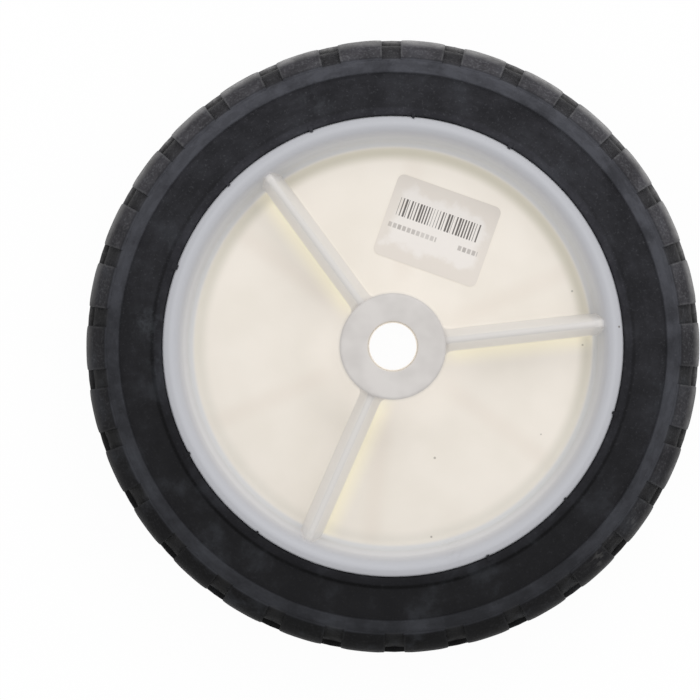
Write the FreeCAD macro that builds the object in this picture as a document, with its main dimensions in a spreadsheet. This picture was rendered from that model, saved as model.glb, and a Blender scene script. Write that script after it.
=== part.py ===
import FreeCAD, Part
import Sketcher
import math
import os

# Driving dimensions in millimetres, angles in degrees
# The axle runs along Z, the photographed side faces +Z and the origin is the wheel's centre
SIZES = {
    # Tyre
    "tyre_diameter": 177.8,
    "tyre_width": 38.1,
    "tyre_height": 23.7,
    "tyre_fit_gap": 0.05,
    "shoulder_fall": 8.6,
    "shoulder_ring_width": 3.1,
    "shoulder_ring_step": 1.0,
    "shoulder_step_run": 0.3,
    "sidewall_dish": 1.4,
    "bead_ring_width": 1.4,
    "bead_ring_height": 0.8,
    "bead_flank_run": 1.7,
    # Tread blocks
    "tread_pitches": 30,
    "tread_depth": 2.6,
    "tread_floor_half_width": 9.5,
    "crown_slope": 7.0,
    "diamond_length": 15.0,
    "diamond_width": 17.0,
    "groove_width": 2.6,
    "shoulder_gap": 5.7,
    "lug_edge_height": 14.2,
    "lug_edge_fall": 2.6,
    "lug_end_fall": 7.7,
    "lug_end_setback": 0.5,
    # Rim
    "rim_width": 36.0,
    "rim_wall": 3.6,
    "rim_taper": 4.2,
    "flange_depth": 2.8,
    "flange_edge": 2.2,
    "flange_slope": 2.1,
    "lip_bevel_height": 1.1,
    "lip_bevel_run": 1.6,
    "lip_fall": 1.2,
    # Web, hub and ribs
    "web_thickness": 2.8,
    "web_bevel": 2.6,
    "hub_diameter": 30.0,
    "hub_length": 36.4,
    "hub_chamfer": 0.8,
    "bore_diameter": 14.0,
    "bore_chamfer": 0.8,
    "rib_width": 6.5,
    "rib_top_width": 1.8,
    "rib_drop": 1.4,
    "front_ribs": 3,
    "back_ribs": 6,
    "back_rib_bearing": 17.0,
    # Label
    "label_width": 31.5,
    "label_height": 24.4,
    "label_thickness": 0.15,
    "label_corner": 2.0,
    "label_shift": 1.05,
    "label_bearing": 62.8,
    "label_turn": -25.8,
}

# Radii and heights that several features share, worked out from the sheet
TYRE_RADIUS = "(Sizes.tyre_diameter / 2)"
HALF_WIDTH = "(Sizes.tyre_width / 2)"
RING_OUTER = f"({TYRE_RADIUS} - Sizes.shoulder_fall)"
RING_INNER = f"({RING_OUTER} - Sizes.shoulder_ring_width)"
SIDEWALL_TOP = f"({HALF_WIDTH} - Sizes.shoulder_ring_step)"
SIDEWALL_FOOT = f"({SIDEWALL_TOP} - Sizes.sidewall_dish)"
RIM_RADIUS = f"({TYRE_RADIUS} - Sizes.tyre_height)"
SEAT_RADIUS = f"({RIM_RADIUS} - Sizes.flange_depth)"
WALL_RADIUS = f"({SEAT_RADIUS} - Sizes.rim_wall)"
LIP_TOP = "(Sizes.rim_width / 2)"
FLANGE_TOP = f"({LIP_TOP} - Sizes.lip_fall)"
FLANGE_FOOT = f"({FLANGE_TOP} - Sizes.flange_edge)"
SEAT_EDGE = f"({FLANGE_FOOT} - Sizes.flange_slope)"
WEB_TOP = "(Sizes.web_thickness / 2)"
HUB_TOP = "(Sizes.hub_length / 2)"
HUB_RADIUS = "(Sizes.hub_diameter / 2)"
BORE_RADIUS = "(Sizes.bore_diameter / 2)"
RIB_CREST = f"({HUB_TOP} - Sizes.rib_drop)"


def wall_at(height):
    """Radius of the rim's tapered inner wall at a height above the middle plane."""
    return f"({WALL_RADIUS} + {height} * tan(Sizes.rim_taper))"


def crown_at(top, height):
    """Radius of a tread block's sloping top at a height above the middle plane."""
    return f"({top} - {height} * tan(Sizes.crown_slope))"


doc = FreeCAD.newDocument("lawn_mower_wheel")
sheet = doc.addObject("Spreadsheet::Sheet", "Sizes")
for row, (alias, value) in enumerate(SIZES.items(), start=1):
    sheet.set(f"A{row}", alias)
    sheet.set(f"B{row}", str(value))
    sheet.setAlias(f"B{row}", alias)
doc.recompute()


def number(expression):
    """Value of an expression on the sheet."""
    return float(sheet.evalExpression(expression))


def point(x, y):
    """Sketch point from two expressions."""
    return FreeCAD.Vector(number(x), number(y), 0)


def origin_feature(body, role):
    """Plane or axis of a body's own origin."""
    return next(item for item in body.Origin.OriginFeatures if item.Role == role)


def new_body(name):
    """Empty body whose label names its file."""
    body = doc.addObject("PartDesign::Body", name)
    body.Label = name
    return body


def laid_on(body, kind, name, support):
    """New sketch or plane that lies flat on another plane."""
    item = body.newObject(kind, name)
    item.AttachmentSupport = [(support, "")]
    item.MapMode = "FlatFace"
    doc.recompute()
    return item


def turn_about(item, axis, angle):
    """Turn a sketch or plane about an axis of its own by an angle from the sheet."""
    turn = FreeCAD.Rotation(axis, number(angle))
    item.AttachmentOffset = FreeCAD.Placement(FreeCAD.Vector(), turn)
    item.setExpression("AttachmentOffset.Rotation.Angle", angle)
    doc.recompute()


def plane_sketch(body, name, role):
    """Sketch on one of the body's own planes."""
    return laid_on(body, "Sketcher::SketchObject", name, origin_feature(body, role))


def turned_sketch(body, name, bearing):
    """Sketch in a plane through the axle: x is the radius, y is the height."""
    sketch = plane_sketch(body, name, "XZ_Plane")
    turn_about(sketch, FreeCAD.Vector(0, 1, 0), bearing)
    return sketch


def radial_plane(body, name, distance, bearing):
    """Plane square to a radius, at a distance from the axle: x runs round the wheel, y is the height."""
    plane = laid_on(body, "PartDesign::Plane", name, origin_feature(body, "YZ_Plane"))
    turn_about(plane, FreeCAD.Vector(0, 1, 0), bearing)
    plane.setExpression("AttachmentOffset.Base.x", f"{distance} * sin({bearing})")
    plane.setExpression("AttachmentOffset.Base.z", f"{distance} * cos({bearing})")
    doc.recompute()
    return plane


def radial_sketch(body, name, distance, bearing):
    """Sketch square to a radius, at a distance from the axle."""
    plane = radial_plane(body, f"{name}_plane", distance, bearing)
    return laid_on(body, "Sketcher::SketchObject", name, plane)


def crown_sketch(body, name, distance, bearing):
    """Sketch on the tread's sloping crown: x runs round the wheel, y climbs from the middle plane."""
    sketch = radial_sketch(body, name, distance, bearing)
    turn_about(sketch, FreeCAD.Vector(-1, 0, 0), "Sizes.crown_slope")
    return sketch


class Pen:
    """Draws one closed outline in a sketch and ties its corners to the sheet."""

    def __init__(self, sketch, x, y):
        self.sketch = sketch
        self.start = (x, y)
        self.spot = point(x, y)
        self.heading = None
        self.first = None
        self.last = None

    def bind(self, *constraint, expression):
        """Add a dimension that follows an expression."""
        index = self.sketch.addConstraint(Sketcher.Constraint(*constraint, number(expression)))
        self.sketch.setExpression(f"Constraints[{index}]", expression)

    def tie(self, corner, x, y):
        """Hold a point at two expressions measured from the origin; axis -1 is the flat one, -2 the upright one."""
        for kind, axis, expression in (("DistanceX", -2, x), ("DistanceY", -1, y)):
            if expression == "0":
                self.sketch.addConstraint(Sketcher.Constraint("PointOnObject", *corner, axis))
            else:
                self.bind(kind, -1, 1, *corner, expression=expression)

    def join(self, edge, kind):
        """Start a new edge, whose start is its point 1, at the end of the last one, its point 2."""
        if self.first is None:
            self.first = (edge, 1)
            self.tie(self.first, *self.start)
        else:
            self.sketch.addConstraint(Sketcher.Constraint(kind, *self.last, edge, 1))
        self.last = (edge, 2)

    def straight(self, goal):
        """Straight edge from the last point."""
        edge = self.sketch.addGeometry(Part.LineSegment(self.spot, goal))
        self.join(edge, "Coincident")
        self.heading = (goal - self.spot).normalize()
        self.spot = goal

    def line(self, x, y):
        """Straight edge to a corner."""
        self.straight(point(x, y))
        self.tie(self.last, x, y)

    def arc(self, x, y):
        """Left-hand arc to a corner, smooth with the straight edge before it."""
        goal = point(x, y)
        chord = goal - self.spot
        side = FreeCAD.Vector(-self.heading.y, self.heading.x, 0)
        radius = chord.dot(chord) / (2 * chord.dot(side))
        centre = self.spot + side * radius
        angles = [math.atan2(end.y - centre.y, end.x - centre.x) for end in (self.spot, goal)]
        circle = Part.Circle(centre, FreeCAD.Vector(0, 0, 1), radius)
        edge = self.sketch.addGeometry(Part.ArcOfCircle(circle, *angles))
        self.join(edge, "Tangent")
        self.tie(self.last, x, y)
        self.spot = goal

    def close(self):
        """Last straight edge, back to the start."""
        self.straight(point(*self.start))
        self.sketch.addConstraint(Sketcher.Constraint("Coincident", *self.last, *self.first))
        doc.recompute()


def spun(body, name, sketch):
    """Full turn of a section about the axle."""
    turn = body.newObject("PartDesign::Revolution", name)
    turn.Profile = sketch
    turn.ReferenceAxis = (sketch, ["V_Axis"])
    turn.Angle = 360
    doc.recompute()


def pushed(body, name, sketch, length, side="One side"):
    """Straight extrusion of an outline along its sketch's normal."""
    pad = body.newObject("PartDesign::Pad", name)
    pad.Profile = sketch
    pad.SideType = side
    pad.setExpression("Length", length)
    doc.recompute()
    return pad


def sunk(body, name, sketch, length, bearing):
    """Extrusion of an outline straight towards the axle, whatever way its sketch leans."""
    pad = pushed(body, name, sketch, length)
    pad.UseCustomVector = True
    pad.AlongSketchNormal = False
    pad.setExpression("Direction.x", f"-1 * cos({bearing})")
    pad.setExpression("Direction.y", f"-1 * sin({bearing})")
    pad.setExpression("Direction.z", "0")
    doc.recompute()
    return pad


def round_pattern(body, name, features, count):
    """Copies of features at even steps round the axle."""
    pattern = body.newObject("PartDesign::PolarPattern", name)
    pattern.Originals = features
    pattern.Axis = (origin_feature(body, "Z_Axis"), [""])
    pattern.Angle = 360
    pattern.setExpression("Occurrences", count)
    body.Tip = pattern
    doc.recompute()


def mirrored_half(body, name):
    """The lower half of a body, as the mirror image of the upper half."""
    mirror = body.newObject("PartDesign::Mirrored", name)
    mirror.TransformMode = "Whole shape"
    mirror.MirrorPlane = (origin_feature(body, "XY_Plane"), [""])
    body.Tip = mirror
    doc.recompute()


def ribs(body, name, side, bearing, count):
    """Ring of wedge-shaped ribs from inside the hub's wall to inside the rim's wall."""
    root = f"(({BORE_RADIUS} + {HUB_RADIUS}) / 2)"
    tip = f"(({wall_at(RIB_CREST)} + {SEAT_RADIUS}) / 2)"
    half_foot = "(Sizes.rib_width / 2)"
    half_top = "(Sizes.rib_top_width / 2)"
    crest = f"({side} * {RIB_CREST})"
    section = Pen(radial_sketch(body, f"{name}_rib_section", root, bearing), half_foot, "0")
    section.line(half_top, crest)
    section.line(f"-1 * {half_top}", crest)
    section.line(f"-1 * {half_foot}", "0")
    section.close()
    rib = pushed(body, f"{name}_rib", section.sketch, f"{tip} - {root}")
    round_pattern(body, f"{name}_ribs", [rib], count)


def plastic_wheel():
    """One moulding: hub, web, ribs and the channel rim that the tyre sits in."""
    bevel_top = f"({WEB_TOP} + Sizes.web_bevel)"
    lip_foot = f"({LIP_TOP} - Sizes.lip_bevel_height)"

    body = new_body("plastic_wheel")
    pen = Pen(plane_sketch(body, "wheel_section", "XZ_Plane"), BORE_RADIUS, "0")
    pen.line(BORE_RADIUS, f"({HUB_TOP} - Sizes.bore_chamfer)")
    pen.line(f"({BORE_RADIUS} + Sizes.bore_chamfer)", HUB_TOP)
    pen.line(f"({HUB_RADIUS} - Sizes.hub_chamfer)", HUB_TOP)
    pen.line(HUB_RADIUS, f"({HUB_TOP} - Sizes.hub_chamfer)")
    pen.line(HUB_RADIUS, WEB_TOP)
    pen.line(f"({wall_at(bevel_top)} - Sizes.web_bevel)", WEB_TOP)
    pen.line(wall_at(bevel_top), bevel_top)
    pen.line(wall_at(lip_foot), lip_foot)
    pen.line(f"({wall_at(lip_foot)} + Sizes.lip_bevel_run)", LIP_TOP)
    pen.line(RIM_RADIUS, FLANGE_TOP)
    pen.line(RIM_RADIUS, FLANGE_FOOT)
    pen.line(SEAT_RADIUS, SEAT_EDGE)
    pen.line(SEAT_RADIUS, "0")
    pen.close()
    spun(body, "wheel_half", pen.sketch)
    mirrored_half(body, "wheel_both_sides")
    ribs(body, "front", 1, "0", "Sizes.front_ribs")
    ribs(body, "back", -1, "Sizes.back_rib_bearing", "Sizes.back_ribs")
    return body


def tread_blocks(body):
    """One pitch of the tread, half a centre diamond and a shoulder lug with a pointed nose, all round the tyre."""
    root = f"(({RING_INNER} + {RING_OUTER}) / 2)"
    half_pitch_angle = "(180 / Sizes.tread_pitches)"
    half_pitch = f"({TYRE_RADIUS} * tan({half_pitch_angle}))"
    half_length = "(Sizes.diamond_length / 2)"
    half_width = "(Sizes.diamond_width / 2)"
    steepness = f"({half_width} / {half_length})"
    groove_edge = f"({half_width} + Sizes.groove_width * sqrt(1 + {steepness} ^ 2))"
    half_lug = f"({half_pitch} - Sizes.shoulder_gap / 2)"
    nose_foot = f"({groove_edge} - {steepness} * Sizes.shoulder_gap / 2)"
    nose_point = f"({groove_edge} - {steepness} * {half_pitch})"
    lug_end = f"({HALF_WIDTH} - Sizes.lug_end_setback)"
    diamond_top = f"sqrt({TYRE_RADIUS} ^ 2 - {half_length} ^ 2)"
    lug_top = f"sqrt({TYRE_RADIUS} ^ 2 - {half_lug} ^ 2)"
    slope = "cos(Sizes.crown_slope)"

    outline = Pen(crown_sketch(body, "diamond_outline", diamond_top, "0"), f"-1 * {half_length}", "0")
    outline.line(half_length, "0")
    outline.line("0", f"({half_width} / {slope})")
    outline.close()
    diamond = sunk(body, "diamond", outline.sketch, f"{diamond_top} - {root}", "0")

    outline = Pen(crown_sketch(body, "nose_outline", lug_top, half_pitch_angle), "0", f"({nose_point} / {slope})")
    outline.line(half_lug, f"({nose_foot} / {slope})")
    outline.line(f"-1 * {half_lug}", f"({nose_foot} / {slope})")
    outline.close()
    nose = sunk(body, "lug_nose", outline.sketch, f"{lug_top} - {root}", half_pitch_angle)

    outline = Pen(turned_sketch(body, "lug_section", half_pitch_angle), root, nose_foot)
    outline.line(crown_at(lug_top, nose_foot), nose_foot)
    outline.line(f"({lug_top} - Sizes.lug_edge_fall)", "Sizes.lug_edge_height")
    outline.line(f"({TYRE_RADIUS} - Sizes.lug_end_fall)", lug_end)
    outline.line(root, lug_end)
    outline.close()
    lug = pushed(body, "lug", outline.sketch, f"2 * {half_lug}", "Symmetric")
    round_pattern(body, "tread_round", [diamond, nose, lug], "Sizes.tread_pitches")


def rubber_tyre():
    """One solid rubber moulding with a diamond block tread, keyed into the rim's channel."""
    floor = f"({TYRE_RADIUS} - Sizes.tread_depth)"
    seat = f"({SEAT_RADIUS} + Sizes.tyre_fit_gap)"
    rim = f"({RIM_RADIUS} + Sizes.tyre_fit_gap)"
    bead_edge = f"({rim} + Sizes.bead_ring_width)"
    bead_top = f"({SIDEWALL_FOOT} + Sizes.bead_ring_height)"

    body = new_body("rubber_tyre")
    pen = Pen(plane_sketch(body, "tyre_section", "XZ_Plane"), floor, "0")
    pen.line(floor, "Sizes.tread_floor_half_width")
    pen.line(RING_OUTER, HALF_WIDTH)
    pen.line(RING_INNER, HALF_WIDTH)
    pen.line(f"({RING_INNER} - Sizes.shoulder_step_run)", SIDEWALL_TOP)
    pen.line(f"({bead_edge} + Sizes.bead_flank_run)", SIDEWALL_FOOT)
    pen.line(bead_edge, bead_top)
    pen.line(rim, bead_top)
    pen.line(rim, FLANGE_FOOT)
    pen.line(seat, SEAT_EDGE)
    pen.line(seat, "0")
    pen.close()
    spun(body, "tyre_half", pen.sketch)
    tread_blocks(body)
    mirrored_half(body, "tyre_both_sides")
    return body


def paper_label():
    """Thin sticker with round corners, flat on the web, a little inside the middle of hub and rim."""
    distance = f"(({HUB_RADIUS} + {wall_at(WEB_TOP)}) / 2 - Sizes.label_shift)"
    half_width = "(Sizes.label_width / 2)"
    half_height = "(Sizes.label_height / 2)"
    inner_width = f"({half_width} - Sizes.label_corner)"
    inner_height = f"({half_height} - Sizes.label_corner)"

    body = new_body("paper_label")
    pen = Pen(plane_sketch(body, "label_outline", "XY_Plane"), "0", f"-1 * {half_height}")
    pen.line(inner_width, f"-1 * {half_height}")
    pen.arc(half_width, f"-1 * {inner_height}")
    pen.line(half_width, inner_height)
    pen.arc(inner_width, half_height)
    pen.line(f"-1 * {inner_width}", half_height)
    pen.arc(f"-1 * {half_width}", inner_height)
    pen.line(f"-1 * {half_width}", f"-1 * {inner_height}")
    pen.arc(f"-1 * {inner_width}", f"-1 * {half_height}")
    pen.close()
    pushed(body, "label_sheet", pen.sketch, "Sizes.label_thickness")
    body.setExpression("Placement.Base.x", f"{distance} * cos(Sizes.label_bearing)")
    body.setExpression("Placement.Base.y", f"{distance} * sin(Sizes.label_bearing)")
    body.setExpression("Placement.Base.z", WEB_TOP)
    body.setExpression("Placement.Rotation.Angle", "Sizes.label_turn")
    doc.recompute()
    return body


parts = [plastic_wheel(), rubber_tyre(), paper_label()]
doc.recompute()

failed = [item.Label for item in doc.Objects if {"Invalid", "Error"} & set(item.State)]
failed += [part.Label for part in parts if part.Shape.isNull() or not part.Shape.isValid()]
if failed:
    raise RuntimeError("failed: " + ", ".join(failed))

os.makedirs("parts", exist_ok=True)
for part in parts:
    part.Shape.exportStep(f"parts/{part.Label}.step")
    print(part.Label, round(part.Shape.Volume), "mm3", len(part.Shape.Solids), "solid", len(part.Shape.Faces), "faces")
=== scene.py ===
import math
import bmesh
import bpy
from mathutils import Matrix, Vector


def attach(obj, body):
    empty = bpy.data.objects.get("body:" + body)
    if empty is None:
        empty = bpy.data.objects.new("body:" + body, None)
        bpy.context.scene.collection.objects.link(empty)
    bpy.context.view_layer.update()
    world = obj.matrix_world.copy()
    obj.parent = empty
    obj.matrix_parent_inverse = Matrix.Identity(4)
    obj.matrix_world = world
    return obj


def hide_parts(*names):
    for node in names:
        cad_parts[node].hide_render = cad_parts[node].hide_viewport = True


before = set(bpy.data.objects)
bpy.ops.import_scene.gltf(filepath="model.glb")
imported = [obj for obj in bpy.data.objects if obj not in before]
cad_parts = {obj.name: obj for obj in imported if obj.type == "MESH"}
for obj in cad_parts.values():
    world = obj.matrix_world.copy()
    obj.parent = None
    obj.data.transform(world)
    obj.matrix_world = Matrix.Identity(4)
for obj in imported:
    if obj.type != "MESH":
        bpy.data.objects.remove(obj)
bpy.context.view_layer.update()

MM = 0.001

# Driving sizes in millimetres and angles in degrees, as in the part's source
TYRE_RADIUS = 88.9
HALF_WIDTH = 19.05
TYRE_HEIGHT = 23.7
FIT_GAP = 0.05
SHOULDER_FALL = 8.6
RING_WIDTH = 3.1
RING_STEP = 1.0
RING_FLANK = 0.3
SIDEWALL_DISH = 1.4
BEAD_WIDTH = 1.4
BEAD_HEIGHT = 0.8
BEAD_FLANK = 1.7
PITCHES = 30
TREAD_DEPTH = 2.6
TREAD_FLOOR_HALF = 9.5
CROWN_SLOPE = 7
DIAMOND_HALF_WIDTH = 8.5
LUG_SETBACK = 0.5
LIP_TOP = 18.0
LIP_FALL = 1.2
RIM_WALL = 3.6
RIM_TAPER = 4.2
FLANGE_DEPTH = 2.8
FLANGE_EDGE = 2.2
FLANGE_SLOPE = 2.1
WEB_TOP = 1.4
HUB_RADIUS = 15.0
HUB_TOP = 18.2
BORE_RADIUS = 7.0
RIB_DROP = 1.4
FRONT_RIBS = 3
BACK_RIBS = 6
BACK_RIB_BEARING = 17
LABEL_BEARING = 62.8
LABEL_LEAN = -25.8

# Radii and heights that several pieces and finishes share
RIM_RADIUS = TYRE_RADIUS - TYRE_HEIGHT
SEAT_RADIUS = RIM_RADIUS - FLANGE_DEPTH
WALL_RADIUS = SEAT_RADIUS - RIM_WALL
WALL_LEAN = math.tan(math.radians(RIM_TAPER))
FLANGE_TOP = LIP_TOP - LIP_FALL
FLANGE_FOOT = FLANGE_TOP - FLANGE_EDGE
SEAT_EDGE = FLANGE_FOOT - FLANGE_SLOPE
RIB_CREST = HUB_TOP - RIB_DROP
RING_OUTER = TYRE_RADIUS - SHOULDER_FALL
RING_INNER = RING_OUTER - RING_WIDTH
SIDEWALL_TOP = HALF_WIDTH - RING_STEP
SIDEWALL_FOOT = SIDEWALL_TOP - SIDEWALL_DISH
BEAD_INNER = RIM_RADIUS + FIT_GAP
BEAD_OUTER = BEAD_INNER + BEAD_WIDTH
BEAD_TOP = SIDEWALL_FOOT + BEAD_HEIGHT
TREAD_FLOOR = TYRE_RADIUS - TREAD_DEPTH
CROWN_LEAN = math.tan(math.radians(CROWN_SLOPE))
LUG_END = HALF_WIDTH - LUG_SETBACK
FRONT_BEARINGS = [360 / FRONT_RIBS * step for step in range(FRONT_RIBS)]
BACK_BEARINGS = [BACK_RIB_BEARING + 360 / BACK_RIBS * step for step in range(BACK_RIBS)]

# Tread blocks, with crests a little lower than the sharp-edged ones of the part's source
DIAMOND_CREST = 88.5
DIAMOND_HALF_ANGLE = 4.84
DIAMOND_ROUNDING = 3.0
LUG_CREST = 88.8
LUG_HALF_ANGLE = 4.19
LUG_NOSE = 1.85
LUG_CORNER = 9.2
LUG_EDGE_RADIUS = 86.1
LUG_EDGE = 14.4
LUG_END_RADIUS = 81.3
LUG_ROOT = 78.8
BLOCK_ROOT = 84.0
BLOCK_ROUNDING = 0.35

# How far a block is drawn past its outline before it is cut: across the tread, and round it in degrees
BLOCK_OVERCUT = 1
BLOCK_OVERSWEEP = 1

# Section of a rib, and its ends: distance from the axle, share of its width, share of its height
RIB_ROOT = 11.0
RIB_HALF_FOOT = 3.2
RIB_TOE = 0.9
RIB_HALF_RIDGE = 0.9
RIB_ROUNDING = 0.85
RIB_SINK = 0.03
RIB_HUB_END = [
    (14.5, 1.34, 1.0),
    (14.9, 1.26, 1.0),
    (15.3, 1.16, 1.0),
    (15.8, 1.07, 1.0),
    (16.4, 1.02, 1.0),
    (17.2, 1.0, 1.0),
]
RIB_RIM_END = [
    (57.0, 1.0, 1.0),
    (57.8, 1.02, 0.99),
    (58.5, 1.04, 0.97),
    (59.1, 1.08, 0.94),
    (59.6, 1.12, 0.91),
    (61.2, 1.14, 0.89),
]

# Soft lip of the rim
LIP_SHOULDER_RADIUS = 61.1
LIP_SHOULDER = 17.2
LIP_CREST_RADIUS = 62.8

# Roundings and fillets of the revolved sections and the lugs: how far each reaches along its edges
BORE_ROUNDING = 0.35
HUB_ROUNDING = 0.9
HUB_FILLET = 1.2
WALL_FILLET = 3.0
WALL_TOP_ROUNDING = 1.8
LIP_SHOULDER_ROUNDING = 1.0
LIP_ROUNDING = 0.7
FLANGE_ROUNDING = 0.4
BEAD_INNER_ROUNDING = 0.5
BEAD_OUTER_ROUNDING = 0.6
BEAD_FILLET = 1.2
RING_FILLET = 0.5
RING_INNER_ROUNDING = 0.45
RING_OUTER_ROUNDING = 0.7
TREAD_FLOOR_ROUNDING = 4.0
LUG_CORNER_ROUNDING = 3.6
LUG_EDGE_ROUNDING = 2.6
LUG_END_ROUNDING = 0.5

# Tongues of flash at the bead: their bearings and lengths round the rim
FLASH_PLACES = [
    (53.4, 1.6), (78.6, 1.2), (104.4, 1.5), (129.2, 1.3), (153.6, 2.6),
    (201.4, 1.4), (227.6, 1.2), (288.1, 1.6), (312.2, 1.3), (336.9, 1.5),
]
FLASH_REACH = 1.7
FLASH_THICKNESS = 0.5
FLASH_RADIUS = 65.45
FLASH_HEIGHT = 17.4
FLASH_TIP_RADIUS = 65.0
FLASH_TIP_HEIGHT = 17.2
FLASH_TIP_SHARE = 0.5

# Fineness of the meshes, and the turn in degrees that keeps the ring's facets off the walls of the blocks
MERGE_REACH = 0.002
CORNER_REACH = 0.001
RIM_STEPS = 180
TYRE_STEPS = 240
BLOCK_STEPS = 6
SMALL_ROUNDING = 0.7
MIDDLE_ROUNDING = 2
SHARP_ANGLE = math.radians(40)
RING_TURN = 0.31


# Modelling helpers

def leave_edit():
    """Back to object mode with nothing selected."""
    if bpy.context.mode != "OBJECT":
        bpy.ops.object.mode_set(mode="OBJECT")
    bpy.ops.object.select_all(action="DESELECT")


def pick(piece):
    """Make one piece the only selected and active one."""
    leave_edit()
    bpy.context.view_layer.objects.active = piece
    piece.select_set(True)


def edit(piece):
    """Open a piece in edit mode with all of it selected."""
    pick(piece)
    bpy.ops.object.mode_set(mode="EDIT")
    bpy.ops.mesh.select_mode(type="VERT")
    bpy.ops.mesh.select_all(action="SELECT")


def select_points(piece, test):
    """Select the points whose place passes a test, in millimetres."""
    bpy.ops.mesh.select_all(action="DESELECT")
    mesh = bmesh.from_edit_mesh(piece.data)
    for point in mesh.verts:
        if test(point.co / MM):
            point.select_set(True)
    mesh.select_flush(True)
    bmesh.update_edit_mesh(piece.data)


def near(place):
    """Test for the points at one corner."""
    return lambda spot: (spot - place).length < CORNER_REACH


def rounding_steps(reach):
    """Facets of a rounding, more on a larger one."""
    if reach < SMALL_ROUNDING:
        return 3
    if reach < MIDDLE_ROUNDING:
        return 5
    return 8


def draw_outline(name, corners):
    """Closed outline through corners, each a place and how far along its edges the rounding reaches."""
    leave_edit()
    bpy.ops.mesh.primitive_plane_add(size=MM)
    piece = bpy.context.object
    piece.name = name
    edit(piece)
    bpy.ops.mesh.merge(type="CENTER")
    places = [Vector(corner) for corner, _ in corners]
    bpy.ops.transform.translate(value=places[0] * MM)
    for start, goal in zip(places, places[1:]):
        bpy.ops.mesh.extrude_vertices_move(TRANSFORM_OT_translate={"value": (goal - start) * MM})
    select_points(piece, lambda spot: near(places[0])(spot) or near(places[-1])(spot))
    bpy.ops.mesh.edge_face_add()
    for place, (_, reach) in zip(places, corners):
        if reach:
            select_points(piece, near(place))
            bpy.ops.mesh.bevel(offset=reach * MM, affect="VERTICES", segments=rounding_steps(reach))
    bpy.ops.mesh.select_all(action="SELECT")
    return piece


def close_up():
    """Merge doubled points and turn every face outwards."""
    bpy.ops.mesh.select_all(action="SELECT")
    bpy.ops.mesh.remove_doubles(threshold=MERGE_REACH * MM)
    bpy.ops.mesh.normals_make_consistent(inside=False)


def settle_faces(piece):
    """Start each many-sided face at the same corner, so that every run splits it alike."""
    mesh = bmesh.from_edit_mesh(piece.data)
    for face in [face for face in mesh.faces if len(face.verts) > 4]:
        corners = list(face.verts)
        first = min(range(len(corners)), key=lambda place: tuple(corners[place].co))
        mesh.faces.remove(face)
        mesh.faces.new(corners[first:] + corners[:first])
    bmesh.update_edit_mesh(piece.data)


def spin_round(steps):
    """Full turn of the open outline about the axle."""
    bpy.ops.mesh.spin(steps=steps, angle=math.tau, center=(0, 0, 0), axis=(0, 0, 1))
    close_up()


def repeat_round(piece, count):
    """Copies of a whole piece at even steps round the axle."""
    edit(piece)
    turn = math.tau * (count - 1) / count
    bpy.ops.mesh.spin(steps=count - 1, dupli=True, angle=turn, center=(0, 0, 0), axis=(0, 0, 1))
    close_up()


def turn_piece(piece, tilt, bearing):
    """Turn a piece about X and then about the axle, in degrees."""
    pick(piece)
    piece.rotation_euler = (math.radians(tilt), 0, math.radians(bearing))
    bpy.ops.object.transform_apply(location=True, rotation=True, scale=True)


def copy_of(piece, name):
    """A copy of a piece with its own mesh."""
    pick(piece)
    bpy.ops.object.duplicate()
    twin = bpy.context.object
    twin.name = name
    return twin


def weld(piece, *others):
    """Join other closed pieces into this one, with no walls left inside."""
    for other in others:
        pick(piece)
        modifier = piece.modifiers.new("weld", "BOOLEAN")
        modifier.operation = "UNION"
        modifier.solver = "EXACT"
        modifier.object = other
        bpy.ops.object.modifier_apply(modifier=modifier.name)
        bpy.data.objects.remove(other)


def smooth(piece):
    """Soft shading across all but the sharp edges."""
    pick(piece)
    bpy.ops.object.shade_smooth_by_angle(angle=SHARP_ANGLE)


def wall_at(height):
    """Radius of the rim's inner wall at a height."""
    return WALL_RADIUS + height * WALL_LEAN


def both_sides(half):
    """Corners of a section's upper half, followed by their mirror images."""
    lower = [((x, y, -z), reach) for (x, y, z), reach in reversed(half)]
    return half + lower


# White plastic moulding

def rib(name):
    """One wedge rib with a round ridge and soft feet, flared where it runs into the hub and the rim."""
    seat = WEB_TOP - RIB_SINK
    outside = RIB_HALF_FOOT + RIB_TOE
    section = [
        ((RIB_ROOT, -outside, 0), 0),
        ((RIB_ROOT, outside, 0), 0),
        ((RIB_ROOT, outside, seat), 0),
        ((RIB_ROOT, RIB_HALF_FOOT, seat), RIB_TOE),
        ((RIB_ROOT, RIB_HALF_RIDGE, RIB_CREST), RIB_ROUNDING),
        ((RIB_ROOT, -RIB_HALF_RIDGE, RIB_CREST), RIB_ROUNDING),
        ((RIB_ROOT, -RIB_HALF_FOOT, seat), RIB_TOE),
        ((RIB_ROOT, -outside, seat), 0),
    ]
    piece = draw_outline(name, section)
    bpy.ops.mesh.edge_face_add()
    place, width, level = RIB_ROOT, 1.0, 1.0
    for distance, flare, rise in RIB_HUB_END + RIB_RIM_END:
        bpy.ops.mesh.extrude_region_move(TRANSFORM_OT_translate={"value": ((distance - place) * MM, 0, 0)})
        bpy.ops.transform.resize(value=(1, flare / width, rise / level), center_override=(0, 0, 0))
        place, width, level = distance, flare, rise
    close_up()
    return piece


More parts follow.
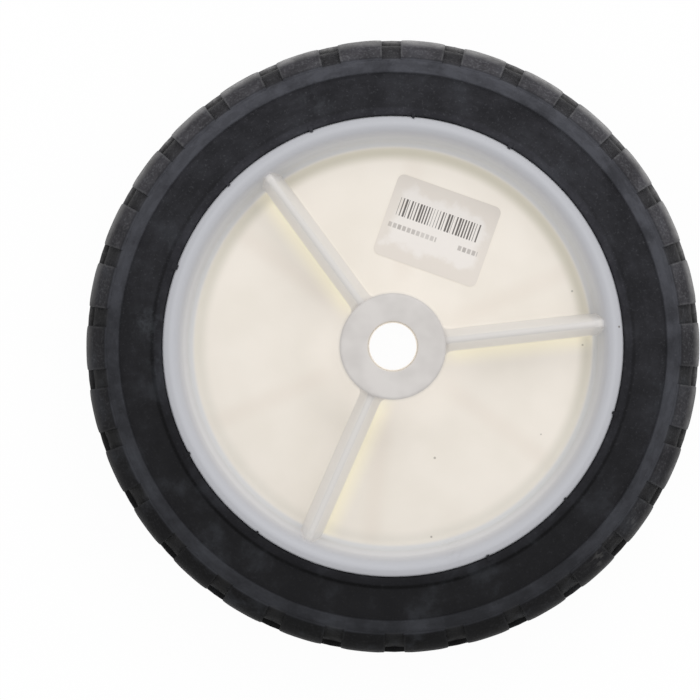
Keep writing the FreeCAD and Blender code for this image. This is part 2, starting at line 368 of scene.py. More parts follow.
def moulding():
    """Hub, web, ribs and channel rim in one closed shell."""
    half = [
        ((BORE_RADIUS, 0, HUB_TOP), BORE_ROUNDING),
        ((HUB_RADIUS, 0, HUB_TOP), HUB_ROUNDING),
        ((HUB_RADIUS, 0, WEB_TOP), HUB_FILLET),
        ((wall_at(WEB_TOP), 0, WEB_TOP), WALL_FILLET),
        ((wall_at(FLANGE_FOOT), 0, FLANGE_FOOT), WALL_TOP_ROUNDING),
        ((LIP_SHOULDER_RADIUS, 0, LIP_SHOULDER), LIP_SHOULDER_ROUNDING),
        ((LIP_CREST_RADIUS, 0, LIP_TOP), LIP_ROUNDING),
        ((RIM_RADIUS, 0, FLANGE_TOP), LIP_ROUNDING),
        ((RIM_RADIUS, 0, FLANGE_FOOT), FLANGE_ROUNDING),
        ((SEAT_RADIUS, 0, SEAT_EDGE), 0),
    ]
    piece = draw_outline("wheel_moulding", both_sides(half))
    spin_round(RIM_STEPS)
    front = rib("front_ribs")
    leave_edit()
    back = copy_of(front, "back_ribs")
    turn_piece(back, 180, BACK_RIB_BEARING)
    repeat_round(front, FRONT_RIBS)
    repeat_round(back, BACK_RIBS)
    weld(piece, front, back)
    smooth(piece)
    return piece


# Rubber tyre

def tread_block(name, section, half_angle, cuts):
    """One tread block: a section swept round the axle, cut to its outline, with soft edges."""
    piece = draw_outline(name, section)
    leave_edit()
    turn_piece(piece, 0, half_angle)
    edit(piece)
    bpy.ops.mesh.edge_face_add()
    sweep = math.radians(2 * half_angle)
    bpy.ops.mesh.spin(steps=BLOCK_STEPS, angle=sweep, center=(0, 0, 0), axis=(0, 0, 1))
    close_up()
    for place, normal in cuts:
        bpy.ops.mesh.select_all(action="SELECT")
        facing = Vector(normal).normalized()
        bpy.ops.mesh.bisect(plane_co=Vector(place) * MM, plane_no=facing, use_fill=True, clear_outer=True)
    close_up()
    bpy.ops.mesh.select_all(action="DESELECT")
    bpy.ops.mesh.edges_select_sharp(sharpness=SHARP_ANGLE)
    bpy.ops.mesh.bevel(offset=BLOCK_ROUNDING * MM, segments=2, affect="EDGES")
    close_up()
    settle_faces(piece)
    leave_edit()
    return piece


def lug():
    """Shoulder lug with a pointed nose towards the middle of the tread."""
    start = LUG_NOSE - BLOCK_OVERCUT
    section = [
        ((BLOCK_ROOT, 0, start), 0),
        ((LUG_CREST - start * CROWN_LEAN, 0, start), 0),
        ((LUG_CREST - LUG_CORNER * CROWN_LEAN, 0, LUG_CORNER), LUG_CORNER_ROUNDING),
        ((LUG_EDGE_RADIUS, 0, LUG_EDGE), LUG_EDGE_ROUNDING),
        ((LUG_END_RADIUS, 0, LUG_END), LUG_END_ROUNDING),
        ((LUG_ROOT, 0, LUG_END), 0),
    ]
    half = LUG_CREST * math.sin(math.radians(LUG_HALF_ANGLE))
    rise = LUG_CORNER - LUG_NOSE
    tip = (LUG_CREST, 0, LUG_NOSE)
    cuts = [(tip, (0, rise, -half)), (tip, (0, -rise, -half))]
    return tread_block("lug", section, LUG_HALF_ANGLE, cuts)


def diamond():
    """Diamond block in the middle of the tread."""
    width = DIAMOND_HALF_WIDTH
    outside = width + BLOCK_OVERCUT
    edge = DIAMOND_CREST - outside * CROWN_LEAN
    section = [
        ((BLOCK_ROOT, 0, -outside), 0),
        ((edge, 0, -outside), 0),
        ((DIAMOND_CREST, 0, 0), DIAMOND_ROUNDING),
        ((edge, 0, outside), 0),
        ((BLOCK_ROOT, 0, outside), 0),
    ]
    half = DIAMOND_CREST * math.sin(math.radians(DIAMOND_HALF_ANGLE))
    cuts = []
    for side in (1, -1):
        for end in (1, -1):
            cuts.append(((DIAMOND_CREST, 0, side * width), (0, end * width, side * half)))
    return tread_block("diamond", section, DIAMOND_HALF_ANGLE + BLOCK_OVERSWEEP, cuts)


def tongue(bearing, length):
    """One thin tongue of moulding flash that laps over the edge of the rim."""
    leave_edit()
    bpy.ops.mesh.primitive_cube_add(size=MM)
    piece = bpy.context.object
    edit(piece)
    bpy.ops.transform.resize(value=(FLASH_REACH, length, FLASH_THICKNESS))
    bpy.ops.transform.translate(value=(FLASH_RADIUS * MM, 0, FLASH_HEIGHT * MM))
    select_points(piece, lambda spot: spot.x < FLASH_TIP_RADIUS)
    tip = (FLASH_TIP_RADIUS * MM, 0, FLASH_TIP_HEIGHT * MM)
    bpy.ops.transform.resize(value=(1, FLASH_TIP_SHARE, FLASH_TIP_SHARE), center_override=tip)
    leave_edit()
    turn_piece(piece, 0, bearing)
    return piece


def flash():
    """All the tongues of flash round the bead, in one piece."""
    pieces = [tongue(bearing, length) for bearing, length in FLASH_PLACES]
    leave_edit()
    for piece in pieces:
        piece.select_set(True)
    bpy.context.view_layer.objects.active = pieces[0]
    bpy.ops.object.join()
    return pieces[0]


def tyre():
    """Rubber ring with bead, sidewalls and shoulder rings, and the blocks of its tread."""
    half = [
        ((SEAT_RADIUS + FIT_GAP, 0, SEAT_EDGE), 0),
        ((BEAD_INNER, 0, FLANGE_FOOT), 0),
        ((BEAD_INNER, 0, BEAD_TOP), BEAD_INNER_ROUNDING),
        ((BEAD_OUTER, 0, BEAD_TOP), BEAD_OUTER_ROUNDING),
        ((BEAD_OUTER + BEAD_FLANK, 0, SIDEWALL_FOOT), BEAD_FILLET),
        ((RING_INNER - RING_FLANK, 0, SIDEWALL_TOP), RING_FILLET),
        ((RING_INNER, 0, HALF_WIDTH), RING_INNER_ROUNDING),
        ((RING_OUTER, 0, HALF_WIDTH), RING_OUTER_ROUNDING),
        ((TREAD_FLOOR, 0, TREAD_FLOOR_HALF), TREAD_FLOOR_ROUNDING),
    ]
    piece = draw_outline("tyre", both_sides(half))
    spin_round(TYRE_STEPS)
    leave_edit()
    turn_piece(piece, 0, RING_TURN)
    upper = lug()
    turn_piece(upper, 0, 180 / PITCHES)
    lower = copy_of(upper, "lower_lugs")
    turn_piece(lower, 180, 0)
    middle = diamond()
    for blocks in (upper, lower, middle):
        repeat_round(blocks, PITCHES)
    weld(piece, upper, lower, middle, flash())
    smooth(piece)
    return piece


# Pieces

wheel_moulding = moulding()
tyre_ring = tyre()
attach(wheel_moulding, "root")
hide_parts("plastic_wheel")
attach(tyre_ring, "root")
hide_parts("rubber_tyre")
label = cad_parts["paper_label"]
leave_edit()


# Shader building

class Wire:
    """One output in a material's node tree; arithmetic on it adds the nodes that it needs."""

    def __init__(self, tree, socket):
        self.tree = tree
        self.socket = socket

    def node(self, kind, settings, inputs, output=0):
        """New node: its settings first, then its inputs, set or linked."""
        node = self.tree.nodes.new(kind)
        for name, setting in settings.items():
            setattr(node, name, setting)
        for place, value in inputs.items():
            if isinstance(value, Wire):
                self.tree.links.new(value.socket, node.inputs[place])
            else:
                node.inputs[place].default_value = value
        return Wire(self.tree, node.outputs[output])

    def math(self, operation, *values):
        """Math node on values in their order."""
        return self.node("ShaderNodeMath", {"operation": operation}, dict(enumerate(values)))

    def of(self, operation):
        """Math node on this value alone."""
        return self.math(operation, self)

    def __add__(self, other):
        return self.math("ADD", self, other)

    def __radd__(self, other):
        return self.math("ADD", other, self)

    def __sub__(self, other):
        return self.math("SUBTRACT", self, other)

    def __rsub__(self, other):
        return self.math("SUBTRACT", other, self)

    def __mul__(self, other):
        return self.math("MULTIPLY", self, other)

    def __rmul__(self, other):
        return self.math("MULTIPLY", other, self)

    def __truediv__(self, other):
        return self.math("DIVIDE", self, other)

    def __rtruediv__(self, other):
        return self.math("DIVIDE", other, self)

    def ramp(self, start, end):
        """Soft step from 0 at one value to 1 at another."""
        spread = {"Value": self, "From Min": start, "From Max": end}
        return self.node("ShaderNodeMapRange", {"interpolation_type": "SMOOTHSTEP"}, spread)

    def band(self, low, high, soft):
        """1 between two values and 0 outside them, with soft edges."""
        return self.ramp(low - soft, low + soft) * self.ramp(high + soft, high - soft)

    def blend(self, first, second):
        """Colour that goes from one to another as this value goes from 0 to 1."""
        return self.node("ShaderNodeMix", {"data_type": "RGBA"}, {0: self, 6: first, 7: second}, 2)

    def vector(self, operation, *values, output=0):
        """Vector Math node on values in their order."""
        return self.node("ShaderNodeVectorMath", {"operation": operation}, dict(enumerate(values)), output)

    def noise(self, scale, detail, roughness=0.5):
        """Cloudy value round 0.5."""
        spread = {"Vector": self, "Scale": scale, "Detail": detail, "Roughness": roughness}
        return self.node("ShaderNodeTexNoise", {}, spread)


def tone(red, green, blue):
    """Colour as it looks on a screen, from 0 to 255, as a shader's linear colour."""
    shares = [value / 255 for value in (red, green, blue)]
    return (*[share / 12.92 if share < 0.0405 else ((share + 0.055) / 1.055) ** 2.4 for share in shares], 1)


def strongest(wires):
    """Largest of several values at each place."""
    total = wires[0]
    for wire in wires[1:]:
        total = total.math("MAXIMUM", total, wire)
    return total


class Finish:
    """A material on the part's own coordinates in millimetres."""

    def __init__(self, piece, slot, constants):
        material = bpy.data.materials.new(slot)
        material.use_nodes = True
        self.tree = material.node_tree
        self.shader = self.tree.nodes["Principled BSDF"]
        for place, value in constants.items():
            self.shader.inputs[place].default_value = value
        metres = Wire(self.tree, self.tree.nodes.new("ShaderNodeTexCoord").outputs["Object"])
        self.spot = metres.vector("MULTIPLY", metres, (1 / MM, 1 / MM, 1 / MM))
        self.plan = self.spot.vector("MULTIPLY", self.spot, (1, 1, 0))
        self.x, self.y, self.z = [self.part_of_spot(axis) for axis in range(3)]
        self.radius = (self.x * self.x + self.y * self.y).of("SQRT")
        self.height = self.z.of("ABSOLUTE")
        piece.data.materials.clear()
        piece.data.materials.append(material)

    def part_of_spot(self, axis):
        """Coordinate along one axis."""
        return self.spot.node("ShaderNodeSeparateXYZ", {}, {0: self.spot}, axis)

    def feed(self, place, wire):
        """Link a value or colour to the shader."""
        self.tree.links.new(wire.socket, self.shader.inputs[place])

    def bump(self, relief, strength, distance):
        """Fine relief from a height value."""
        spread = {"Strength": strength, "Distance": distance, "Height": relief}
        self.feed("Normal", relief.node("ShaderNodeBump", {}, spread))

    def along(self, bearing):
        """Distance from the axle along a bearing."""
        turn = math.radians(bearing)
        return self.x * math.cos(turn) + self.y * math.sin(turn)

    def across(self, bearing):
        """Distance to the left of a line from the axle at a bearing."""
        turn = math.radians(bearing)
        return self.y * math.cos(turn) - self.x * math.sin(turn)

    def around(self, x, y, reach, soft):
        """Soft round spot about a place in plan."""
        away = self.plan.vector("DISTANCE", self.plan, (x, y, 0), output=1)
        return away.ramp(reach + soft, reach - soft)


# White plastic: milky, with painted light: warm and glowing where it is thin and light comes through it,
# cooler and greyer where it is thick

LIT_BEARING = 62
LIT_REACH = 58
BORE_BRIGHTENS = (18, -6)
SHADOW_HALF_WIDTH = 2.4
SHADOW_SOFTNESS = 2.2
RIB_NARROWING = 0.15
GLOWING_SIDES = (-1, 1, 1)
SPECKS = [
    (8.5, -33.4, 0.35), (53.3, 10.2, 0.3), (54.6, -5.6, 0.3),
    (64.0, -1.5, 0.3), (5.0, -56.0, 0.3), (39.8, -30.0, 0.22),
]
SPECK_SOFTNESS = 0.12
SMUDGE_PLACE = (11.2, -59.6, 2.0, 3.0)
# Strengths and colours of the painted glow that stands for light coming through the plastic
WEB_GLOW = 0.235
WEB_GLOW_LIT = 0.055
WEB_GLOW_AT_HUB = 0.2
WEB_GLOW_AT_RIM = 0.06
EDGE_DIMMING = 0.2
EDGE_DIMMING_LIT = 0.3
RIB_GLOW = 0.125
RIDGE_DIMMING = 0.07
RIB_FOOT_GLOW = 0.1
BORE_GLOW = 0.45
BORE_DIMMING_LIT = 0.25
NO_GLOW = (0, 0, 0, 1)
WARM_GLOW = tone(255, 248, 239)
YELLOW_GLOW = tone(255, 246, 222)
# Tones of the plastic, with painted light and shade: the warm web, the lit and shaded pairs, and the tones
# over, beside and along the web
HUB_CLOUDY = tone(200, 196, 193)
HUB_CLEAR = tone(210, 206, 203)
BORE_SHADED = tone(226, 221, 214)
BORE_LIT = tone(200, 192, 180)
WALL_FOOT = tone(211, 212, 214)
WALL_SHADED = tone(216, 217, 221)
WALL_LIT = tone(201, 203, 207)
LIP = tone(186, 187, 192)
RIB_SIDE = tone(209, 206, 202)
RIB_RIDGE_SHADE = tone(205, 202, 199)
WEB_CLOUDY = tone(199, 193, 183)
WEB_CLEAR = tone(204, 198, 189)
WEB_RIB_SHADOW = tone(192, 182, 171)
WEB_FOOT_GLOW = tone(203, 197, 175)
# Tones of the painted shade along the web's edge by the wall, on its shaded and lit sides
WEB_EDGE_SHADED = tone(194, 191, 182)
WEB_EDGE_LIT = tone(191, 186, 168)
SPECK = tone(92, 84, 74)
SMUDGE = tone(120, 118, 118)


class WhitePlastic(Finish):
    """Finish of the hub, web, ribs and rim."""

    def __init__(self, piece):
        constants = {"Roughness": 0.45, "Specular IOR Level": 0.25, "Emission Strength": 1.0}
        super().__init__(piece, "white_plastic", constants)
        self.front = self.z.ramp(-0.5, 0.5)
        self.lit = self.along(LIT_BEARING).ramp(-LIT_REACH, LIT_REACH)
        between = self.radius.band(HUB_RADIUS + 0.4, WALL_RADIUS - 0.8, 0.8)
        self.web = self.height.ramp(WEB_TOP + 1.0, WEB_TOP + 0.1) * between
        self.ridge = self.height.ramp(RIB_CREST - 0.8, RIB_CREST - 0.1)
        # Painted shade on the web along its edge by the wall, strongest on the lit side
        self.edge = self.radius.ramp(WALL_RADIUS - 6.0, WALL_RADIUS - 2.6) * self.web
        self.painted_foot_glow = self.glowing_feet()
        self.rib_ends = self.ends_at_rim()
        self.feed("Base Color", self.marked(self.web.blend(self.thick(), self.thin())))
        self.feed("Emission Color", self.glow())
        self.bump(self.spot.noise(0.9, 3), 0.05, 0.0004)

    def glowing_feet(self):
        """Painted glow on the web beside the front ribs, on the side where light gathers."""
        strips = []
        for bearing, side in zip(FRONT_BEARINGS, GLOWING_SIDES):
            away = self.across(bearing) * side
            strip = away.ramp(RIB_HALF_FOOT - 0.8, RIB_HALF_FOOT + 0.1)
            strip = strip * away.ramp(RIB_HALF_FOOT + 5.8, RIB_HALF_FOOT - 0.2)
            strips.append(strip * self.along(bearing).ramp(HUB_RADIUS - 5, HUB_RADIUS + 5))
        return strongest(strips) * self.front * self.height.ramp(WEB_TOP + 2.1, WEB_TOP + 0.2)

    def shadows_of_ribs(self):
        """Painted shadows of the back ribs, on the front of the web where they show through it."""
        strips = []
        for bearing in BACK_BEARINGS:
            strip = self.across(bearing).band(-SHADOW_HALF_WIDTH, SHADOW_HALF_WIDTH, SHADOW_SOFTNESS)
            strips.append(strip * self.along(bearing).ramp(HUB_RADIUS - 1, HUB_RADIUS + 11))
        return strongest(strips) * self.front * self.web

    def rib_end(self, bearing):
        """Where a rib runs into the rim, narrower towards its ridge."""
        half_width = self.across(bearing).of("ABSOLUTE") + RIB_NARROWING * self.height
        end = half_width.ramp(RIB_HALF_FOOT + 1.0, RIB_HALF_FOOT - 0.1)
        return end * self.along(bearing).ramp(WALL_RADIUS - 3.8, WALL_RADIUS - 1.3)

    def ends_at_rim(self):
        """Where all the ribs run into the rim, on both sides."""
        front = strongest([self.rib_end(bearing) for bearing in FRONT_BEARINGS])
        back = strongest([self.rib_end(bearing) for bearing in BACK_BEARINGS])
        ends = front * self.front + back * (1 - self.front)
        ends = ends * self.height.ramp(WEB_TOP + 0.6, WEB_TOP + 2.6)
        return ends * self.radius.ramp(WALL_RADIUS + 2.0, WALL_RADIUS + 0.4)

    def thick(self):
        """Colour of the hub, the ribs and the rim, painted cooler and greyer than the web for the little
        light that comes through them, with painted lit and shaded sides on the bore and the wall, a greyer
        lip, and painted shade on the ridges of the ribs.
        """
        hub = self.spot.noise(0.11, 2).ramp(0.35, 0.65).blend(HUB_CLOUDY, HUB_CLEAR)
        bore = self.lit.blend(BORE_SHADED, BORE_LIT)
        hub = self.radius.ramp(BORE_RADIUS + 0.5, BORE_RADIUS).blend(hub, bore)
        wall = self.lit.blend(WALL_SHADED, WALL_LIT)
        wall = self.height.ramp(WEB_TOP + 1.6, WEB_TOP + 7.6).blend(WALL_FOOT, wall)
        rim = self.height.ramp(LIP_TOP - 8.0, LIP_TOP - 0.6).blend(wall, LIP)
        # Ridges of the ribs painted a little darker, as painted shade
        ribs = self.ridge.blend(RIB_SIDE, RIB_RIDGE_SHADE)
        inner = self.radius.ramp(HUB_RADIUS - 0.6, HUB_RADIUS + 2.0).blend(hub, ribs)
        outer = self.radius.ramp(WALL_RADIUS - 2.3, WALL_RADIUS - 0.3)
        # Where the ribs run into the rim they keep the lighter rib colour, painted over the shade of the
        # join
        return (outer * (1 - 0.85 * self.rib_ends)).blend(inner, rim)

    def thin(self):
        """Colour of the web, painted warm for the light that comes through it, with painted shadows of the
        back ribs, painted glow beside the front ribs and painted shade along its edge by the wall.
        """
        web = self.spot.noise(0.06, 2).ramp(0.3, 0.7).blend(WEB_CLOUDY, WEB_CLEAR)
        # Painted shadows of the back ribs, seen through the web
        web = (self.shadows_of_ribs() * 0.4).blend(web, WEB_RIB_SHADOW)
        # Painted yellow glow on the web beside the front ribs
        web = (self.painted_foot_glow * 0.9).blend(web, WEB_FOOT_GLOW)
        # Painted shade along the web's edge by the wall
        edge_shade_tone = self.lit.blend(WEB_EDGE_SHADED, WEB_EDGE_LIT)
        return (self.edge * (0.4 + 0.6 * self.lit)).blend(web, edge_shade_tone)

    def marked(self, colour):
        """A colour with the specks and the smudge of the photographed wheel."""
        specks = strongest([self.around(*speck, SPECK_SOFTNESS) for speck in SPECKS])
        colour = (specks * self.front * 0.75).blend(colour, SPECK)
        smudge = self.around(*SMUDGE_PLACE) * self.spot.noise(0.8, 3, 0.7).ramp(0.4, 0.65)
        return (smudge * self.front * 0.14).blend(colour, SMUDGE)

    def glow(self):
        """Painted glow that stands for light coming through the plastic, most where it is thin, and that
        fills in shade by the hub, by the rim and in the bore.
        """
        # Painted glow that fills in the shade beside the hub on the unlit side and by the rim on the lit
        # side
        near_hub = self.radius.ramp(HUB_RADIUS + 14, HUB_RADIUS) * (1 - self.lit)
        near_rim = self.radius.ramp(WALL_RADIUS - 20.8, WALL_RADIUS - 5.8) * self.lit
        web = WEB_GLOW + WEB_GLOW_LIT * self.lit + WEB_GLOW_AT_HUB * near_hub + WEB_GLOW_AT_RIM * near_rim
        web = self.web * web * (1 - self.edge * (EDGE_DIMMING + EDGE_DIMMING_LIT * self.lit))
        ribs = self.radius.band(HUB_RADIUS + 0.6, WALL_RADIUS - 1.2, 1.0)
        ribs = ribs * self.height.ramp(WEB_TOP + 0.3, WEB_TOP + 1.2)
        # Painted glow along the ribs and where they run into the rim, less on their ridges
        ribs = strongest([ribs, self.rib_ends]) * (RIB_GLOW - RIDGE_DIMMING * self.ridge)
        # Painted glow in the bore, growing deeper in and less on the lit side
        bore = self.radius.ramp(BORE_RADIUS + 0.4, BORE_RADIUS) * self.z.ramp(*BORE_BRIGHTENS)
        bore = bore * (BORE_GLOW - BORE_DIMMING_LIT * self.lit)
        strength = web + ribs + self.painted_foot_glow * RIB_FOOT_GLOW + bore
        return strength.blend(NO_GLOW, self.painted_foot_glow.blend(WARM_GLOW, YELLOW_GLOW))


# Black rubber: dark sidewalls, lighter raised rings, chalky patches and scuffed lugs, with painted light
# and sheen towards one side and painted shade in the grooves and the crease by the bead

# Painted light: the rubber is painted lighter towards this bearing, where the light comes from
LIT_SIDE_BEARING = 69
CHALK_PLACES = [(-68.3, 14.5, 4.0, 5.0), (-66.0, 4.0, 2.5, 4.0), (-14.0, 71.5, 3.0, 5.0)]
SCUFF_PLACES = [(53.6, -66.0, 5.0, 5.0), (63.5, -56.5, 3.0, 4.0)]
# Tones on the side away from the light and on the lit side, as painted shade and painted light
SIDE_SHADED = tone(26, 26, 28)
SIDE_LIT = tone(46, 46, 50)
RING_SHADED = tone(47, 48, 52)
RING_LIT = tone(73, 74, 80)
BEAD_SHADED = tone(31, 31, 34)
BEAD_LIT = tone(51, 51, 56)
LUG_SHADED = tone(12, 12, 13)
LUG_LIT = tone(65, 64, 68)
SHOULDER_SHADED = tone(22, 22, 23)
SHOULDER_SHEEN = tone(158, 157, 157)
LUG_GRAIN_SHADED = tone(26, 26, 27)
LUG_GRAIN_LIT = tone(104, 104, 107)
LUG_EDGE_SHADED = tone(34, 34, 35)
LUG_EDGE_LIT = tone(104, 104, 105)
GROOVE_SHADE = tone(5, 5, 5)
CREASE_SHADE = tone(5, 5, 6)
CHALK = tone(88, 92, 97)
SCUFF = tone(98, 97, 96)
DARK_PATCH = tone(18, 18, 20)
PALE_PATCH = tone(74, 77, 83)
GRAIN = tone(92, 93, 97)


class BlackRubber(Finish):
    """Finish of the tyre."""

    def __init__(self, piece):
        super().__init__(piece, "black_rubber", {"Specular IOR Level": 0.1})
        self.grain = self.spot.noise(1.3, 4, 0.7)
        # Painted light: 0 on the side away from the light, 1 on the lit side
        self.lit_side = (self.along(LIT_SIDE_BEARING) / self.radius).ramp(-1.0, 0.95)
        turn = self.y.math("ARCTAN2", self.y, self.x)
        round_places = {0: turn * 14.0, 1: self.radius * 0.55, 2: self.z * 0.2}
        self.swept = turn.node("ShaderNodeCombineXYZ", {}, round_places)
        self.streaks = self.swept.noise(1.0, 4, 0.65)
        pitch = turn * (PITCHES / math.tau)
        self.from_lug = (pitch.of("FRACT") - 0.5).of("ABSOLUTE")
        self.tread = self.radius.ramp(RING_OUTER + 0.7, RING_OUTER + 1.7)
        self.feed("Base Color", self.weathered(self.marked(self.moulded())))
        self.feed("Roughness", 0.62 + 0.2 * self.streaks)
        self.bump(self.grain, 0.3, 0.0003)

    def grooves_and_edges(self):
        """Painted shade in the grooves of the tread, and the long edges of its lugs, where a painted
        highlight goes.
        """
        half_lug = LUG_HALF_ANGLE * PITCHES / 360
        outer = self.height.ramp(LUG_CORNER - 1.6, LUG_CORNER)
        gaps = self.from_lug.ramp(half_lug - 0.004, half_lug + 0.012) * outer
        middle = self.radius.ramp(TREAD_FLOOR + 1.0, TREAD_FLOOR + 0.3)
        middle = middle * self.height.ramp(TREAD_FLOOR_HALF + 0.5, TREAD_FLOOR_HALF - 0.5)
        edges = self.from_lug.band(half_lug - 0.03, half_lug - 0.006, 0.01) * outer
        return strongest([gaps, middle]) * self.tread, edges * self.tread

    def lugs(self, edges):
        """Colour of the tread blocks, with painted sheen on their shoulders and painted light towards one
        side.
        """
        faces = self.lit_side.blend(LUG_SHADED, LUG_LIT)
        # Painted sheen on the shoulders of the lugs, strongest on the lit side
        shoulder = (self.lit_side * (0.55 + 0.45 * self.lit_side)).blend(SHOULDER_SHADED, SHOULDER_SHEEN)
        high = self.radius.ramp(LUG_EDGE_RADIUS - 1.5, LUG_EDGE_RADIUS + 1.1)
        lugs = (high * self.height.ramp(LUG_CORNER - 5.7, LUG_CORNER - 0.7)).blend(faces, shoulder)
        grain_tone = self.lit_side.blend(LUG_GRAIN_SHADED, LUG_GRAIN_LIT)
        lugs = (self.grain.ramp(0.45, 0.68) * 0.5).blend(lugs, grain_tone)
        # Long edges of the lugs painted lighter: painted highlight and scuffing
        return (edges * 0.4).blend(lugs, self.lit_side.blend(LUG_EDGE_SHADED, LUG_EDGE_LIT))

    def moulded(self):
        """Colour of each moulded form of the tyre, with painted shade in its grooves and in the crease by
        the bead.
        """
        grooves, edges = self.grooves_and_edges()
        # Raised rings lighter than the sidewalls: partly their own finish, partly painted reflection of the
        # light they face
        rings = self.radius.band(RING_INNER - 0.1, RING_OUTER + 0.9, 0.3)
        rings = rings * self.height.ramp(SIDEWALL_TOP - 0.65, SIDEWALL_TOP + 0.35)
        skin = rings.blend(self.lit_side.blend(SIDE_SHADED, SIDE_LIT), self.lit_side.blend(RING_SHADED, RING_LIT))
        beads = self.radius.ramp(BEAD_OUTER + 1.25, BEAD_OUTER + 0.45)
        skin = beads.blend(skin, self.lit_side.blend(BEAD_SHADED, BEAD_LIT))
        skin = self.tread.blend(skin, self.lugs(edges))
        # Painted shade in the grooves of the tread
        skin = (grooves * 0.5).blend(skin, GROOVE_SHADE)
        # Painted shade in the crease between the bead and the sidewall, darkest on the side away from the
        # light
        crease = self.radius.band(BEAD_OUTER + 0.95, BEAD_OUTER + 1.85, 0.35)
        crease = crease * self.height.ramp(SIDEWALL_FOOT - 1.15, SIDEWALL_FOOT - 0.15)
        return (crease * (0.95 - 0.85 * self.lit_side)).blend(skin, CREASE_SHADE)

    def marked(self, skin):
        """A colour with the chalky patches and scuffs of the photographed tyre."""
        chalk = strongest([self.around(*place) for place in CHALK_PLACES])
        chalk = chalk * self.spot.noise(0.28, 4, 0.65).ramp(0.4, 0.65) * self.z.ramp(0, 1)
        skin = (chalk * 0.3).blend(skin, CHALK)
        scuffs = strongest([self.around(*place) for place in SCUFF_PLACES])
        scuffs = scuffs * self.swept.noise(1.6, 3, 0.6).ramp(0.52, 0.62) * self.tread
        return (scuffs * 0.35).blend(skin, SCUFF)

    def weathered(self, skin):
        """A colour with cloudy patches, streaks round the wheel and grain, the grain painted stronger on
        the lit side as painted light.
        """
        mottle = self.spot.noise(0.085, 4, 0.6)
        skin = (mottle.ramp(0.56, 0.36) * 0.4).blend(skin, DARK_PATCH)
        skin = (mottle.ramp(0.5, 0.72) * 0.22).blend(skin, PALE_PATCH)
        skin = (self.streaks.ramp(0.58, 0.4) * 0.2).blend(skin, DARK_PATCH)
        # Grain shows more on the lit side, as painted light
        return (self.grain.ramp(0.54, 0.74) * (0.07 + 0.25 * self.lit_side)).blend(skin, GRAIN)


# Paper label: off-white sheet with a block of plain bars and two short fields of grey

LABEL_DISTANCE = 35.9
PALE_SIDEWAYS = (-12.5, 12.5)
PALE_UPWARDS = (-8.0, 8.6)
BAR_PITCH = 0.86
BARS_SIDEWAYS = (-12.9, 11.6)
BARS_UPWARDS = (0.4, 5.7)
FIELD_PITCH = 1.42
LEFT_FIELD = (-14.2, 0.6)
RIGHT_FIELD = (7.1, 13.2)
FIELDS_UPWARDS = (-3.4, -2.0)
PAPER_BORDER = tone(229, 222, 214)
PAPER_MIDDLE = tone(238, 233, 228)
BAR_INK = tone(64, 58, 56)
FIELD_INK = tone(110, 102, 98)


class LabelPaper(Finish):
    """Finish of the label, drawn on its own two directions."""

    def __init__(self, piece):
        super().__init__(piece, "label_paper", {"Roughness": 0.85, "Specular IOR Level": 0.2})
        bearing = math.radians(LABEL_BEARING)
        lean = math.radians(LABEL_LEAN)
        right = self.x - LABEL_DISTANCE * math.cos(bearing)
        above = self.y - LABEL_DISTANCE * math.sin(bearing)
        self.sideways = right * math.cos(lean) + above * math.sin(lean)
        self.upwards = above * math.cos(lean) - right * math.sin(lean)
        self.feed("Base Color", self.fields(self.bars(self.sheet())))

    def cells(self, pitch):
        """Even steps along the label: how far into a step, and a number that each step draws at random."""
        steps = self.sideways / pitch
        seed = {"W": steps.of("FLOOR")}
        draw = steps.node("ShaderNodeTexWhiteNoise", {"noise_dimensions": "1D"}, seed)
        return steps.of("FRACT"), draw

    def sheet(self):
        """Bare paper, paler inside a ragged edge."""
        ragged = self.spot.noise(0.16, 3, 0.55) * 10 - 5
        tall = (self.upwards + ragged).band(*PALE_UPWARDS, 1.2)
        wide = (self.sideways + ragged).band(*PALE_SIDEWAYS, 1.5)
        return (tall * wide).blend(PAPER_BORDER, PAPER_MIDDLE)

    def bars(self, paper):
        """Paper with upright bars of many widths."""
        inside, draw = self.cells(BAR_PITCH)
        width = 0.12 + 0.62 * draw
        reach = self.sideways.band(*BARS_SIDEWAYS, 0.05) * self.upwards.band(*BARS_UPWARDS, 0.06)
        return ((inside - width).ramp(0.06, -0.06) * reach * 0.85).blend(paper, BAR_INK)

    def fields(self, paper):
        """Paper with two short fields of grey blocks, side by side."""
        inside, draw = self.cells(FIELD_PITCH)
        reach = self.sideways.band(*LEFT_FIELD, 0.1) + self.sideways.band(*RIGHT_FIELD, 0.1)
        reach = reach * self.upwards.band(*FIELDS_UPWARDS, 0.15) * inside.band(0.14, 0.86, 0.07)
        return (reach * (0.3 + 0.25 * draw)).blend(paper, FIELD_INK)


WhitePlastic(wheel_moulding)
BlackRubber(tyre_ring)
LabelPaper(label)


# Camera, straight above the wheel as in the photograph

CAMERA_HEIGHT = 619.0
FOCAL_PIXELS = 2134.0
FRAME_PIXELS = 700
WHEEL_PIXEL = (392.9, 346.4)
WHEEL_TURN = 6.3
SENSOR_WIDTH = 36

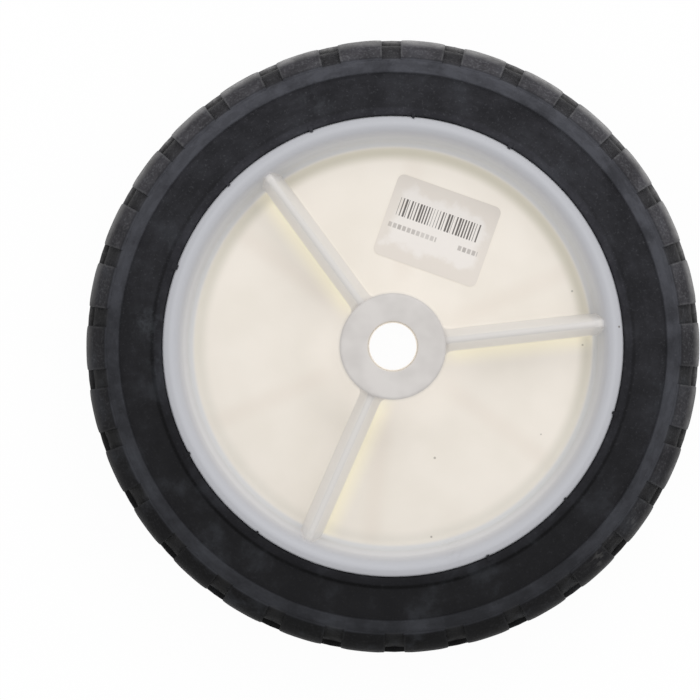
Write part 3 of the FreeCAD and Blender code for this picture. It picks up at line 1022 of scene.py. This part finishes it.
camera_data = bpy.data.cameras.new("camera")
camera = bpy.data.objects.new("camera", camera_data)
bpy.context.scene.collection.objects.link(camera)
bpy.context.scene.camera = camera
camera_data.sensor_width = SENSOR_WIDTH
camera_data.lens = SENSOR_WIDTH * FOCAL_PIXELS / FRAME_PIXELS
camera_data.shift_x = (FRAME_PIXELS / 2 - WHEEL_PIXEL[0]) / FRAME_PIXELS
camera_data.shift_y = (WHEEL_PIXEL[1] - FRAME_PIXELS / 2) / FRAME_PIXELS
camera_data.clip_start = 0.01
camera_data.clip_end = 10
camera.rotation_euler = (0, 0, math.radians(-WHEEL_TURN))
camera.location = (0, 0, CAMERA_HEIGHT * MM)


# Floor and light: sizes and places in metres, and the gap below the tyre in millimetres

FLOOR_SIZE = 6
FLOOR_GAP = 0.02
FLOOR_COLOUR = (0.92, 0.92, 0.92, 1)
WHITE = (1, 1, 1, 1)
WHITE_SHARE = 0.96
BACKGROUND_RAYS = ("Is Camera Ray", "Is Glossy Ray", "Is Transmission Ray")
KEY_PLACE = (0.43, 0.74, 0.85)
KEY_SIZE = 0.7
KEY_ENERGY = 3.6
WORLD_STRENGTH = 0.88


def white_floor():
    """Floor material: white to the camera and in reflections, pale and matt to the light."""
    material = bpy.data.materials.new("floor")
    material.use_nodes = True
    tree = material.node_tree
    tree.nodes.clear()
    path = tree.nodes.new("ShaderNodeLightPath").outputs
    rays = strongest([Wire(tree, path[kind]) for kind in BACKGROUND_RAYS])
    matt = rays.node("ShaderNodeBsdfDiffuse", {}, {"Color": FLOOR_COLOUR})
    bright = rays.node("ShaderNodeEmission", {}, {"Color": WHITE, "Strength": 1.0})
    both = rays.node("ShaderNodeMixShader", {}, {0: rays * WHITE_SHARE, 1: matt, 2: bright})
    tree.links.new(both.socket, tree.nodes.new("ShaderNodeOutputMaterial").inputs["Surface"])
    return material


leave_edit()
bpy.ops.mesh.primitive_plane_add(size=FLOOR_SIZE, location=(0, 0, -(HALF_WIDTH + FLOOR_GAP) * MM))
floor = bpy.context.object
floor.name = "floor"
floor.data.materials.append(white_floor())

key_data = bpy.data.lights.new("key", "AREA")
key_data.size = KEY_SIZE
key_data.energy = KEY_ENERGY
key = bpy.data.objects.new("key", key_data)
bpy.context.scene.collection.objects.link(key)
key.location = KEY_PLACE
key.rotation_euler = (-Vector(KEY_PLACE)).to_track_quat("-Z", "Y").to_euler()

world = bpy.data.worlds.new("studio")
world.use_nodes = True
world.node_tree.nodes["Background"].inputs["Color"].default_value = WHITE
world.node_tree.nodes["Background"].inputs["Strength"].default_value = WORLD_STRENGTH
bpy.context.scene.world = world
bpy.context.scene.view_settings.view_transform = "Standard"
